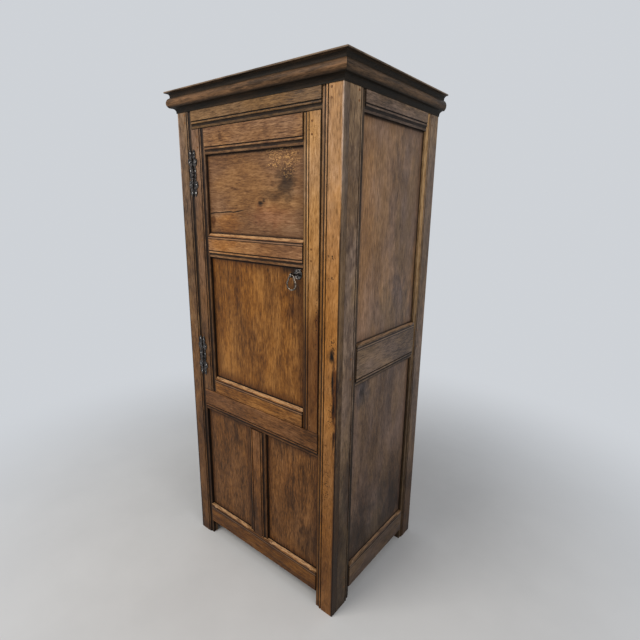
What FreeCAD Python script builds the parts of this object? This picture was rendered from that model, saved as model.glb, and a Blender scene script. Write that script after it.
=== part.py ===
"""Joined oak food cupboard: framed carcass, one panelled door, moulded cornice, iron fittings.

All sizes are millimetres. X runs along the front, Y from front to back, Z up.
The origin is on the floor, in the middle of the whole outline.
"""
import FreeCAD, Part
import math
import os

V = FreeCAD.Vector

# Overall size of the carcass, without the cornice's overhang
carcass_width = 745.0
carcass_depth = 585.0
frame_height = 1806.0
top_board_thickness = 14.0

# Stock of the frames
frame_thickness = 27.0
front_stile_width = 76.0
side_front_stile_width = 80.0
side_back_stile_width = 84.0
arris_radius = 2.0

# Rails of the front frame: heights of their lower and upper edges
top_rail_width = 115.0
front_mid_rail_low = 611.0
front_mid_rail_high = 699.0
front_bottom_rail_low = 66.0
front_bottom_rail_high = 150.0
muntin_width = 92.0

# Rails of the side frames
side_mid_rail_low = 855.0
side_mid_rail_high = 998.0
side_bottom_rail_low = 50.0
side_bottom_rail_high = 146.0

# Door: it closes nearly flush, against two stops behind the top rail
door_stop_gap = 0.3
door_stile_width = 66.0
door_gap = 1.5
door_top_gap = 2.0
door_top_rail_width = 87.0
door_upper_panel_height = 272.0
door_mid_rail_width = 86.0
door_bottom_rail_width = 65.0
door_stop_width = 60.0
door_stop_thickness = 12.0
door_stop_hold = 20.0
door_stop_lap = 8.0
door_stop_place_share = 0.5

# Edge moulding: groove, bead, hollow and recessed fillet, from the flat to the edge
groove_width = 4.5
groove_depth = 3.0
bead_width = 5.0
bead_drop = 0.6
hollow_width = 8.0
hollow_step = 0.9
hollow_sag = 1.2
fillet_width = 8.5
fillet_depth = 4.5

# Sill chamfer on the upper edge of rails, and the tapered stops at its ends
chamfer_height = 10.0
chamfer_land = 1.0
chamfer_inset = 9.0
chamfer_taper = 26.0

# Panels and their grooves
panel_recess = 13.0
panel_thickness = 8.5
panel_tongue = 8.0
panel_play = 0.3
panel_shrink_gap = 1.0

# Mortise and tenon joints and their pegs
tenon_length = 42.0
tenon_shoulder = 14.0
mortise_clearance = 1.0
muntin_tenon_length = 30.0
peg_radius = 3.4
peg_proud = 0.5
peg_setback = 35.0
peg_blind = 3.0
peg_spread_share = 0.3

# Cornice, measured from the carcass faces and from its own lower edge
cornice_height = 70.0
cornice_overhang = 31.0
cornice_lip = 2.0
cornice_lip_height = 4.0
cornice_cove_reach = 17.0
cornice_cove_top = 17.0
cornice_torus_start = 19.5
cornice_torus_reach = 27.0
cornice_torus_top = 49.0
cornice_neck_reach = 16.5
cornice_neck_height = 53.0
cornice_cap_reach = 29.0
cornice_cap_height = 4.5
cornice_cove_sag = 3.0
cornice_cavetto_sag = 3.0

# Back, shelves and the bearers under them
back_board_thickness = 10.0
back_board_count = 4
back_board_gap = 1.0
back_board_low = 40.0
back_rebate = 12.0
back_rail_thickness = 20.0
back_rail_width = 96.0
shelf_thickness = 18.0
shelf_side_play = 1.0
shelf_front_play = 3.0
shelf_middle_height_share = 0.33
shelf_upper_height_share = 0.65
bottom_board_top = 146.0
bearer_width = 20.0
bearer_height = 22.0

# Surface hinges in wrought iron
hinge_length = 164.0
hinge_leaf_width = 25.0
hinge_leaf_thickness = 2.5
hinge_upper_drop = 148.0
hinge_lower_rise = 144.0
knuckle_radius = 4.2
knuckle_length = 46.0
knuckle_middle_length = 16.0
knuckle_end_gap = 0.4
knuckle_side_gap = 0.5
hinge_pin_radius = 2.0
hinge_pin_play = 0.05
hinge_finial_radius = 3.2
nail_head_radius = 3.0
nail_head_height = 1.2
nail_shank_radius = 1.2
nail_shank_length = 16.0

# Drop pull and the turning latch behind it
pull_stile_offset = 27.0
pull_rail_offset = 22.0
rosette_radius = 17.0
rosette_plate = 2.0
rosette_rim_width = 2.6
rosette_rim_height = 3.4
rosette_boss_radius = 7.5
rosette_boss_height = 6.0
rosette_dish_share = 0.75
spindle_radius = 4.0
spindle_play = 0.08
spindle_panel_play = 0.6
spindle_collar_radius = 6.2
spindle_collar_length = 3.0
spindle_end_gap = 0.3
bush_radius = 9.0
eye_reach = 20.0
eye_radius = 7.5
eye_width = 6.5
eye_edge_round = 1.4
ring_wire_radius = 2.7
ring_eye_play = 0.08
ring_top_half = 3.9
ring_corner_radius = 3.4
ring_bowl_radius = 17.6
ring_bowl_drop = 28.9
latch_clearance = 1.0
latch_thickness = 4.0
latch_width = 15.0
latch_tip_width = 11.0
latch_catch = 18.0
latch_tang_radius = 3.0
latch_rivet_radius = 5.2
latch_rivet_height = 2.0

# One overrun serves all cuts
overrun = 5.0

# Places that follow from the sizes above
total_height = frame_height + top_board_thickness
front_face = cornice_overhang - (carcass_depth + cornice_overhang) / 2
back_face = front_face + carcass_depth
half_width = carcass_width / 2
moulding_width = groove_width + bead_width + hollow_width + fillet_width
side_frame_length = carcass_depth - frame_thickness
front_top_rail_low = frame_height - top_rail_width
door_low = front_mid_rail_high + door_top_gap
door_high = front_top_rail_low - door_top_gap
door_left = front_stile_width + door_gap
door_width = carcass_width - 2 * door_left
door_mid_rail_high = door_high - door_top_rail_width - door_upper_panel_height
door_mid_rail_low = door_mid_rail_high - door_mid_rail_width
hinge_upper_centre = door_high - hinge_upper_drop
hinge_lower_centre = door_low + hinge_lower_rise
inner_half_width = half_width - frame_thickness
inner_back = back_face - back_board_thickness
shelf_back = inner_back - back_rail_thickness
cornice_base = total_height - cornice_height
door_thickness = frame_thickness - door_stop_gap
latch_front = frame_thickness + latch_clearance
latch_back = latch_front + latch_thickness
shelf_front = front_face + latch_back + latch_rivet_height + shelf_front_play
shelf_room = front_top_rail_low - front_mid_rail_high
shelf_middle_top = front_mid_rail_high + shelf_middle_height_share * shelf_room
shelf_upper_top = front_mid_rail_high + shelf_upper_height_share * shelf_room

# Hinge leaf outline as shares of the leaf width and of half its length.
# Each row is an arc: a point on the way, then its end.
leaf_outline_shares = [
    ((0.10, 0.46), (0.20, 0.58)),
    ((0.10, 0.80), (0.34, 1.00)),
    ((0.68, 0.90), (0.72, 0.74)),
    ((0.66, 0.66), (0.54, 0.62)),
    ((0.86, 0.62), (1.00, 0.46)),
    ((0.84, 0.34), (0.56, 0.30)),
    ((0.66, 0.22), (0.74, 0.10)),
]
nail_place_shares = [(0.42, 0.84), (0.66, 0.48), (0.52, 0.10), (0.66, -0.48), (0.42, -0.84)]

os.makedirs("parts", exist_ok=True)


def front_place(s, b, z):
    """Point on the front frame: s from the left end, b behind the face."""
    return V(s - half_width, front_face + b, z)


def door_place(s, b, z):
    """Point on the door: s from the hinge edge, b behind the face."""
    return front_place(door_left + s, b, z)


def right_place(s, b, z):
    """Point on the right side frame: s behind the front frame, b inside the face."""
    return V(half_width - b, front_face + frame_thickness + s, z)


def left_place(s, b, z):
    """Point on the left side frame, the mirror image of the right one."""
    return V(b - half_width, front_face + frame_thickness + s, z)


def slab(place, s0, s1, b0, b1, z0, z1):
    """Box between two corners given in a frame's own directions."""
    one = place(s0, b0, z0)
    two = place(s1, b1, z1)
    low = V(min(one.x, two.x), min(one.y, two.y), min(one.z, two.z))
    size = V(abs(one.x - two.x), abs(one.y - two.y), abs(one.z - two.z))
    return Part.makeBox(size.x, size.y, size.z, low)


def box(x0, x1, y0, y1, z0, z1):
    """Box between two corners in the object's own frame."""
    return Part.makeBox(x1 - x0, y1 - y0, z1 - z0, V(x0, y0, z0))


def edge_run(kind, thickness):
    """Section of one long edge, from the back corner round to the flat face.

    Each step is a list of (a, b): a from the edge over the face, b behind the face.
    Two points make a line and three make an arc.
    """
    if kind == "square":
        return [[(0, thickness), (0, 0)]]
    if kind == "round":
        inset = arris_radius * (1 - math.sqrt(0.5))
        return [
            [(0, thickness), (0, arris_radius)],
            [(0, arris_radius), (inset, inset), (arris_radius, 0)],
        ]
    hollow_end = fillet_width + hollow_width
    bead_end = hollow_end + bead_width
    hollow_start_depth = bead_drop + hollow_step
    hollow_mid_depth = (fillet_depth + hollow_start_depth) / 2 + hollow_sag
    return [
        [(0, thickness), (0, fillet_depth)],
        [(0, fillet_depth), (fillet_width, fillet_depth)],
        [
            (fillet_width, fillet_depth),
            (fillet_width + hollow_width / 2, hollow_mid_depth),
            (hollow_end, hollow_start_depth),
        ],
        [(hollow_end, hollow_start_depth), (hollow_end, bead_drop)],
        [(hollow_end, bead_drop), (hollow_end + bead_width / 2, 0), (bead_end, bead_drop)],
        [
            (bead_end, bead_drop),
            (bead_end + groove_width / 2, groove_depth),
            (moulding_width, 0),
        ],
    ]


def board(point, width, thickness, low_kind, high_kind, along):
    """Board whose section lies in point(a, b), drawn out along a vector."""
    low = edge_run(low_kind, thickness)
    high = []
    for step in reversed(edge_run(high_kind, thickness)):
        high.append([(width - a, b) for a, b in reversed(step)])
    steps = low + [[low[-1][-1], high[0][0]]] + high
    steps.append([(width, thickness), (0, thickness)])
    edges = []
    for step in steps:
        ends = [point(a, b) for a, b in step]
        if len(ends) == 3:
            edges.append(Part.Arc(ends[0], ends[1], ends[2]).toShape())
        else:
            edges.append(Part.makeLine(ends[0], ends[1]))
    return Part.Face(Part.Wire(edges)).extrude(along)


def upright(place, s0, width, z0, z1, thickness, low_kind, high_kind):
    """Stile or muntin: its section is level and it stands from z0 to z1."""
    return board(
        lambda a, b: place(s0 + a, b, z0), width, thickness, low_kind, high_kind,
        V(0, 0, z1 - z0),
    )


def across(place, s0, s1, z0, z1, thickness, low_kind, high_kind):
    """Rail: its section stands upright and it runs from s0 to s1."""
    return board(
        lambda a, b: place(s0, b, z0 + a), z1 - z0, thickness, low_kind, high_kind,
        place(s1, 0, z0) - place(s0, 0, z0),
    )


def tetrahedron(a, b, c, d):
    """Solid between four corners."""
    faces = []
    for ring in ((a, b, c, a), (a, b, d, a), (b, c, d, b), (c, a, d, c)):
        faces.append(Part.Face(Part.makePolygon(list(ring))))
    solid = Part.Solid(Part.Shell(faces))
    if solid.Volume < 0:
        solid.reverse()
    return solid


def sill_cutter(place, s0, s1, top, stopped):
    """Wedges that take the chamfer off a rail's upper front edge."""
    depth = panel_recess - chamfer_land
    inset = chamfer_inset if stopped else 0
    taper = chamfer_taper if stopped else 0
    first = s0 + inset + taper
    last = s1 - inset - taper

    def corners(s):
        return [place(s, 0, top), place(s, 0, top - chamfer_height), place(s, depth, top)]

    ring = corners(first)
    wedge = Part.Face(Part.makePolygon(ring + [ring[0]])).extrude(corners(last)[0] - ring[0])
    if not stopped:
        return [wedge]
    ends = []
    for s, tip in ((first, s0 + inset), (last, s1 - inset)):
        ends.append(tetrahedron(*corners(s), place(tip, 0, top)))
    return [wedge] + ends


def tenon(place, s0, s1, z0, z1, clearance=0.0):
    """Tenon, or with a clearance its mortise, in the plane of the panels."""
    return slab(
        place, s0 - clearance, s1 + clearance,
        panel_recess, panel_recess + panel_thickness,
        z0 + tenon_shoulder, z1 - tenon_shoulder,
    )


def panel(place, s0, s1, z0, z1):
    """Panel and the groove it sits in, for an opening between the frame's edges."""
    low = z0 - panel_tongue
    high = z1 + panel_tongue
    left = s0 - panel_tongue
    right = s1 + panel_tongue
    back = panel_recess + panel_thickness
    board_solid = slab(place, left, right, panel_recess, back, low, high)
    groove = slab(
        place, left - panel_shrink_gap, right + panel_shrink_gap,
        panel_recess - panel_play, back + panel_play, low, high + panel_shrink_gap,
    )
    return board_solid, groove


def peg(place, s, z, thickness):
    """Oak peg through a joint, standing just proud of the face."""
    start = place(s, -peg_proud, z)
    end = place(s, thickness - peg_blind, z)
    way = end - start
    return Part.makeCylinder(peg_radius, way.Length, start, way)


def joint_pegs(place, s_list, rails, thickness):
    """Two pegs at each end of each rail, through its tenon and below the cornice."""
    pegs = []
    for s in s_list:
        for low, high in rails:
            first = low + tenon_shoulder
            last = min(high - tenon_shoulder, cornice_base)
            spread = (last - first) * peg_spread_share
            for z in ((first + last) / 2 - spread, (first + last) / 2 + spread):
                pegs.append(peg(place, s, z, thickness))
    return pegs


def joined_rail(place, s0, s1, z0, z1, thickness, low_kind, high_kind, cuts):
    """Rail with a tenon at each end, less its chamfer, grooves and peg holes."""
    body = across(place, s0, s1, z0, z1, thickness, low_kind, high_kind)
    body = body.fuse(tenon(place, s0 - tenon_length, s1 + tenon_length, z0, z1))
    return body.cut(cuts).removeSplitter()


def mortises(place, s0, s1, rails):
    """Mortises for all rails of one frame, one long pocket per rail."""
    return [
        tenon(place, s0 - tenon_length, s1 + tenon_length, low, high, mortise_clearance)
        for low, high in rails
    ]


def front_frame():
    """Front of the carcass: two stiles, three rails, a muntin and two low panels."""
    inner_low = front_stile_width
    inner_high = carcass_width - front_stile_width
    muntin_low = (carcass_width - muntin_width) / 2
    muntin_high = muntin_low + muntin_width
    rails = [
        (front_top_rail_low, frame_height),
        (front_mid_rail_low, front_mid_rail_high),
        (front_bottom_rail_low, front_bottom_rail_high),
    ]
    left_board, left_groove = panel(
        front_place, inner_low, muntin_low, front_bottom_rail_high, front_mid_rail_low)
    right_board, right_groove = panel(
        front_place, muntin_high, inner_high, front_bottom_rail_high, front_mid_rail_low)
    pegs = joint_pegs(
        front_place, [inner_low - peg_setback, inner_high + peg_setback], rails, frame_thickness)
    pockets = mortises(front_place, inner_low, inner_high, rails)
    grooves = [left_groove, right_groove]
    muntin_tenon = slab(
        front_place, muntin_low + moulding_width, muntin_high - moulding_width,
        panel_recess, panel_recess + panel_thickness,
        front_bottom_rail_high - muntin_tenon_length, front_mid_rail_low + muntin_tenon_length,
    )
    muntin = upright(
        front_place, muntin_low, muntin_width, front_bottom_rail_high, front_mid_rail_low,
        frame_thickness, "moulded", "moulded",
    ).fuse(muntin_tenon).cut(grooves)
    stile_cuts = pockets + grooves + pegs + hinge_nail_holes()
    rail_cuts = grooves + pegs + [muntin_tenon]
    sills = sill_cutter(front_place, inner_low, muntin_low, front_bottom_rail_high, True)
    sills += sill_cutter(front_place, muntin_high, inner_high, front_bottom_rail_high, True)
    nodes = {
        "front_stile_left": upright(
            front_place, 0, front_stile_width, 0, frame_height,
            frame_thickness, "round", "moulded").cut(stile_cuts),
        "front_stile_right": upright(
            front_place, inner_high, front_stile_width, 0, frame_height,
            frame_thickness, "moulded", "round").cut(stile_cuts),
        "front_top_rail": joined_rail(
            front_place, inner_low, inner_high, front_top_rail_low, frame_height,
            frame_thickness, "moulded", "square", pegs),
        "front_mid_rail": joined_rail(
            front_place, inner_low, inner_high, front_mid_rail_low, front_mid_rail_high,
            frame_thickness, "moulded", "round", rail_cuts),
        "front_bottom_rail": joined_rail(
            front_place, inner_low, inner_high, front_bottom_rail_low, front_bottom_rail_high,
            frame_thickness, "round", "square", rail_cuts + sills),
        "front_muntin": muntin,
        "front_panel_left": left_board,
        "front_panel_right": right_board,
    }
    return nodes, pegs


def side_frame(place, side):
    """One side of the carcass: two stiles, three rails and two panels."""
    inner_low = side_front_stile_width
    inner_high = side_frame_length - side_back_stile_width
    rails = [
        (front_top_rail_low, frame_height),
        (side_mid_rail_low, side_mid_rail_high),
        (side_bottom_rail_low, side_bottom_rail_high),
    ]
    upper_board, upper_groove = panel(
        place, inner_low, inner_high, side_mid_rail_high, front_top_rail_low)
    lower_board, lower_groove = panel(
        place, inner_low, inner_high, side_bottom_rail_high, side_mid_rail_low)
    pegs = joint_pegs(
        place, [inner_low - peg_setback, inner_high + peg_setback], rails, frame_thickness)
    pockets = mortises(place, inner_low, inner_high, rails)
    cuts = [upper_groove, lower_groove] + pegs
    rebate = slab(
        place, side_frame_length - back_board_thickness, side_frame_length + overrun,
        frame_thickness - back_rebate, frame_thickness + overrun, back_board_low,
        frame_height + overrun,
    )
    mid_sill = sill_cutter(place, inner_low, inner_high, side_mid_rail_high, True)
    low_sill = sill_cutter(place, inner_low, inner_high, side_bottom_rail_high, True)
    nodes = {
        f"{side}_stile_front": upright(
            place, 0, side_front_stile_width, 0, frame_height,
            frame_thickness, "round", "moulded").cut(pockets + cuts),
        f"{side}_stile_back": upright(
            place, inner_high, side_back_stile_width, 0, frame_height,
            frame_thickness, "moulded", "round").cut(pockets + cuts + [rebate]),
        f"{side}_top_rail": joined_rail(
            place, inner_low, inner_high, front_top_rail_low, frame_height,
            frame_thickness, "moulded", "square", cuts),
        f"{side}_mid_rail": joined_rail(
            place, inner_low, inner_high, side_mid_rail_low, side_mid_rail_high,
            frame_thickness, "moulded", "square", cuts + mid_sill),
        f"{side}_bottom_rail": joined_rail(
            place, inner_low, inner_high, side_bottom_rail_low, side_bottom_rail_high,
            frame_thickness, "round", "square", cuts + low_sill),
        f"{side}_upper_panel": upper_board,
        f"{side}_lower_panel": lower_board,
    }
    return nodes, pegs


def pull_centre():
    """Where the pull's spindle crosses the door's face: along the door, and its height."""
    return (
        door_width - door_stile_width - pull_stile_offset,
        door_mid_rail_low - pull_rail_offset,
    )


def spindle_rod(radius, b0, b1):
    """Rod on the pull's axis between two depths behind the door's face."""
    s, z = pull_centre()
    start = door_place(s, b0, z)
    return Part.makeCylinder(radius, b1 - b0, start, V(0, 1, 0))


def door():
    """Door: two stiles, three rails and two panels, the lower one bored for the pull."""
    inner_low = door_stile_width
    inner_high = door_width - door_stile_width
    top_rail_low = door_high - door_top_rail_width
    bottom_rail_high = door_low + door_bottom_rail_width
    rails = [
        (top_rail_low, door_high),
        (door_mid_rail_low, door_mid_rail_high),
        (door_low, bottom_rail_high),
    ]
    upper_board, upper_groove = panel(
        door_place, inner_low, inner_high, door_mid_rail_high, top_rail_low)
    lower_board, lower_groove = panel(
        door_place, inner_low, inner_high, bottom_rail_high, door_mid_rail_low)
    pegs = joint_pegs(
        door_place, [inner_low - peg_setback, inner_high + peg_setback], rails, door_thickness)
    pockets = mortises(door_place, inner_low, inner_high, rails)
    cuts = [upper_groove, lower_groove] + pegs
    bore = spindle_rod(spindle_radius + spindle_panel_play, 0, door_thickness)
    mid_sill = sill_cutter(door_place, inner_low, inner_high, door_mid_rail_high, False)
    low_sill = sill_cutter(door_place, inner_low, inner_high, bottom_rail_high, False)
    nodes = {
        "door_stile_hinge": upright(
            door_place, 0, door_stile_width, door_low, door_high,
            door_thickness, "round", "moulded").cut(pockets + cuts + hinge_nail_holes()),
        "door_stile_latch": upright(
            door_place, inner_high, door_stile_width, door_low, door_high,
            door_thickness, "moulded", "round").cut(pockets + cuts),
        "door_top_rail": joined_rail(
            door_place, inner_low, inner_high, top_rail_low, door_high,
            door_thickness, "moulded", "round", cuts),
        "door_mid_rail": joined_rail(
            door_place, inner_low, inner_high, door_mid_rail_low, door_mid_rail_high,
            door_thickness, "moulded", "square", cuts + mid_sill),
        "door_bottom_rail": joined_rail(
            door_place, inner_low, inner_high, door_low, bottom_rail_high,
            door_thickness, "round", "square", cuts + low_sill),
        "door_upper_panel": upper_board,
        "door_lower_panel": lower_board.cut(bore),
    }
    return nodes, pegs


def cornice_section(point):
    """Face of the cornice's section, where point(p, h) stands p out and h up."""
    cap_low = cornice_height - cornice_cap_height
    cove_mid = (
        (cornice_lip + cornice_cove_reach) / 2 - cornice_cove_sag,
        (cornice_lip_height + cornice_cove_top) / 2 + cornice_cove_sag,
    )
    torus_mid_height = (cornice_cove_top + cornice_torus_top) / 2
    cavetto_mid = (
        (cornice_neck_reach + cornice_cap_reach) / 2 - cornice_cavetto_sag,
        (cornice_neck_height + cap_low) / 2 + cornice_cavetto_sag,
    )
    steps = [
        [(0, 0), (cornice_lip, 0)],
        [(cornice_lip, 0), (cornice_lip, cornice_lip_height)],
        [(cornice_lip, cornice_lip_height), cove_mid, (cornice_cove_reach, cornice_cove_top)],
        [(cornice_cove_reach, cornice_cove_top), (cornice_torus_start, cornice_cove_top)],
        [
            (cornice_torus_start, cornice_cove_top),
            (cornice_torus_reach, torus_mid_height),
            (cornice_torus_start, cornice_torus_top),
        ],
        [(cornice_torus_start, cornice_torus_top), (cornice_neck_reach, cornice_torus_top)],
        [(cornice_neck_reach, cornice_torus_top), (cornice_neck_reach, cornice_neck_height)],
        [(cornice_neck_reach, cornice_neck_height), cavetto_mid, (cornice_cap_reach, cap_low)],
        [(cornice_cap_reach, cap_low), (cornice_overhang, cap_low)],
        [(cornice_overhang, cap_low), (cornice_overhang, cornice_height)],
        [(cornice_overhang, cornice_height), (0, cornice_height)],
        [(0, cornice_height), (0, 0)],
    ]
    edges = []
    for step in steps:
        ends = [point(p, h) for p, h in step]
        if len(ends) == 3:
            edges.append(Part.Arc(ends[0], ends[1], ends[2]).toShape())
        else:
            edges.append(Part.makeLine(ends[0], ends[1]))
    return Part.Face(Part.Wire(edges))


def mitre_wedge(side):
    """Prism over the corner: all that lies on the side piece's part of the mitre."""
    reach = cornice_overhang + overrun
    corner = V(side * half_width, front_face, cornice_base - overrun)
    outer = corner + V(side * reach, -reach, 0)
    far = corner + V(side * reach, 0, 0)
    wedge = Part.Face(Part.makePolygon([corner, outer, far, corner]))
    return wedge.extrude(V(0, 0, cornice_height + 2 * overrun))


def cornice():
    """Front moulding and two side mouldings, mitred at the front corners."""
    left_end = -half_width - cornice_overhang
    front = cornice_section(lambda p, h: V(left_end, front_face - p, cornice_base + h))
    front = front.extrude(V(carcass_width + 2 * cornice_overhang, 0, 0))
    front = front.cut([mitre_wedge(-1), mitre_wedge(1)])
    nodes = {"cornice_front": front}
    side_length = carcass_depth + cornice_overhang
    for side, name in ((-1, "cornice_left"), (1, "cornice_right")):
        start = front_face - cornice_overhang
        section = cornice_section(
            lambda p, h: V(side * (half_width + p), start, cornice_base + h))
        run = section.extrude(V(0, side_length, 0))
        corner_part = box(
            min(0, side) * (half_width + cornice_overhang + overrun),
            max(0, side) * (half_width + cornice_overhang + overrun),
            start - overrun, front_face, cornice_base - overrun, total_height + overrun,
        )
        beyond = corner_part.cut(mitre_wedge(side))
        nodes[name] = run.cut(beyond)
    return nodes


def carcass_boards():
    """Top, bottom, shelves with their bearers, door stops and the boarded back."""
    nodes = {
        "top_board": box(
            -half_width, half_width, front_face, back_face, frame_height, total_height),
        "back_top_rail": box(
            -inner_half_width, inner_half_width, shelf_back, inner_back,
            frame_height - back_rail_width, frame_height),
        "back_bottom_rail": box(
            -inner_half_width, inner_half_width, shelf_back, inner_back,
            side_bottom_rail_low, side_bottom_rail_low + back_rail_width),
        "bottom_board": box(
            -inner_half_width, inner_half_width, front_face + frame_thickness, shelf_back,
            bottom_board_top - shelf_thickness, bottom_board_top),
    }
    levels = {
        "shelf_lower": front_mid_rail_high,
        "shelf_middle": shelf_middle_top,
        "shelf_upper": shelf_upper_top,
    }
    reach = inner_half_width - shelf_side_play
    for name, top in levels.items():
        nodes[name] = box(-reach, reach, shelf_front, shelf_back, top - shelf_thickness, top)
    bars = []
    for side in (-1, 1):
        for top in [bottom_board_top] + list(levels.values()):
            high = top - shelf_thickness
            inner = side * (inner_half_width - bearer_width)
            outer = side * inner_half_width
            bars.append(box(
                min(inner, outer), max(inner, outer), shelf_front, shelf_back,
                high - bearer_height, high))
    nodes["shelf_bearers"] = Part.makeCompound(bars)
    stops = []
    for side in (-1, 1):
        middle = side * door_stop_place_share * door_width / 2
        stops.append(box(
            middle - door_stop_width / 2, middle + door_stop_width / 2,
            front_face + frame_thickness, front_face + frame_thickness + door_stop_thickness,
            front_top_rail_low - door_stop_lap, front_top_rail_low + door_stop_hold))
    nodes["door_stops"] = Part.makeCompound(stops)
    span = 2 * (inner_half_width + back_rebate)
    pitch = (span + back_board_gap) / back_board_count
    for index in range(back_board_count):
        start = -span / 2 + index * pitch
        nodes[f"back_board_{index + 1}"] = box(
            start, start + pitch - back_board_gap, inner_back, back_face,
            back_board_low, frame_height)
    return nodes


def hinge_axis(z):
    """Point on the hinge line, in front of the gap beside the door."""
    return front_place(front_stile_width + door_gap / 2, -knuckle_radius, z)


def leaf_plate(centre, side):
    """Scrolled leaf: the half outline is drawn upwards and mirrored downwards."""
    half = hinge_length / 2
    axis = hinge_axis(centre)
    root = knuckle_side_gap

    def point(width_share, height_share):
        reach = root + width_share * (hinge_leaf_width - root)
        return V(axis.x + side * reach, front_face, centre + height_share * half)

    edges = []
    for sign in (1, -1):
        last = point(0, sign * knuckle_length / hinge_length)
        edges.append(Part.makeLine(point(0, 0), last))
        for way, end in leaf_outline_shares:
            middle = point(way[0], sign * way[1])
            stop = point(end[0], sign * end[1])
            edges.append(Part.Arc(last, middle, stop).toShape())
            last = stop
        edges.append(Part.makeLine(last, point(leaf_outline_shares[-1][1][0], 0)))
    outline = Part.Wire(Part.__sortEdges__(edges))
    return Part.Face(outline).extrude(V(0, -hinge_leaf_thickness, 0))


def knuckle(centre, low, high, radius):
    """Cylinder on the hinge line between two heights about the hinge's centre."""
    start = hinge_axis(centre + low)
    return Part.makeCylinder(radius, high - low, start, V(0, 0, 1))


def nail_places(centre, side):
    """Points on the wood's face under each nail of one leaf."""
    axis = hinge_axis(centre)
    places = []
    for width_share, height_share in nail_place_shares:
        x = axis.x + side * width_share * hinge_leaf_width
        places.append(V(x, front_face, centre + height_share * hinge_length / 2))
    return places


def nail_shank(place):
    """Nail's shank, from the leaf's outer face into the wood."""
    start = place - V(0, hinge_leaf_thickness, 0)
    return Part.makeCylinder(nail_shank_radius, nail_shank_length, start, V(0, 1, 0))


def hinge_nail_holes():
    """Holes in wood for the nails of all leaves."""
    holes = []
    for centre in (hinge_upper_centre, hinge_lower_centre):
        for side in (-1, 1):
            holes += [nail_shank(place) for place in nail_places(centre, side)]
    return holes


def nail(place):
    """Nail turned in one piece: a low domed head over the leaf, and its shank."""
    base = place - V(0, hinge_leaf_thickness, 0)
    ball = (nail_head_radius ** 2 + nail_head_height ** 2) / (2 * nail_head_height)
    half_turn = math.asin(nail_head_radius / ball) / 2

    def point(r, h):
        return base + V(r, h, 0)

    dome = Part.Arc(
        point(0, -nail_head_height),
        point(ball * math.sin(half_turn), ball - nail_head_height - ball * math.cos(half_turn)),
        point(nail_head_radius, 0),
    ).toShape()
    rest = Part.makePolygon([
        point(nail_head_radius, 0), point(nail_shank_radius, 0),
        point(nail_shank_radius, nail_shank_length), point(0, nail_shank_length),
        point(0, -nail_head_height),
    ])
    section = Part.Face(Part.Wire([dome] + rest.Edges))
    return section.revolve(base, V(0, 1, 0), 360)


def hinge(name, centre):
    """One surface hinge: frame leaf with two knuckles, door leaf with one, and the pin."""
    half = knuckle_length / 2
    middle = knuckle_middle_length / 2
    pin_hole = knuckle(centre, -half - overrun, half + overrun, hinge_pin_radius)
    door_hole = knuckle(
        centre, -half - overrun, half + overrun, hinge_pin_radius + hinge_pin_play)
    clear_radius = knuckle_radius + knuckle_side_gap
    clear_end = half + 2 * hinge_finial_radius + knuckle_end_gap
    frame_leaf = leaf_plate(centre, -1).cut([
        knuckle(centre, -middle - knuckle_end_gap, middle + knuckle_end_gap, clear_radius),
        knuckle(centre, half, clear_end, clear_radius),
        knuckle(centre, -clear_end, -half, clear_radius),
    ])
    door_leaf = leaf_plate(centre, 1).cut([
        knuckle(centre, middle, clear_end, clear_radius),
        knuckle(centre, -clear_end, -middle, clear_radius),
    ])
    frame_leaf = frame_leaf.fuse([
        knuckle(centre, middle + knuckle_end_gap, half, knuckle_radius),
        knuckle(centre, -half, -middle - knuckle_end_gap, knuckle_radius),
    ])
    door_leaf = door_leaf.fuse(knuckle(centre, -middle, middle, knuckle_radius))
    frame_leaf = frame_leaf.cut([nail_shank(p) for p in nail_places(centre, -1)])
    door_leaf = door_leaf.cut([nail_shank(p) for p in nail_places(centre, 1)])
    rod = knuckle(centre, -half, half, hinge_pin_radius)
    balls = []
    for sign in (-1, 1):
        ball_rise = half + math.sqrt(hinge_finial_radius ** 2 - hinge_pin_radius ** 2)
        ball = Part.makeSphere(hinge_finial_radius, hinge_axis(centre + sign * ball_rise))
        cut_low = half if sign > 0 else -half - overrun - 2 * hinge_finial_radius
        cut_high = half + overrun + 2 * hinge_finial_radius if sign > 0 else -half
        balls.append(ball.common(knuckle(centre, cut_low, cut_high, knuckle_radius)))
    return {
        f"{name}_frame_leaf": frame_leaf.cut(pin_hole).removeSplitter(),
        f"{name}_door_leaf": door_leaf.cut(door_hole).removeSplitter(),
        f"{name}_pin": rod.fuse(balls).removeSplitter(),
    }


def hinge_nails():
    """Nails of the frame leaves and of the door leaves, each kind one group."""
    groups = {}
    for side, name in ((-1, "hinge_nails_frame"), (1, "hinge_nails_door")):
        nails = []
        for centre in (hinge_upper_centre, hinge_lower_centre):
            nails += [nail(place) for place in nail_places(centre, side)]
        groups[name] = Part.makeCompound(nails)
    return groups


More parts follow.
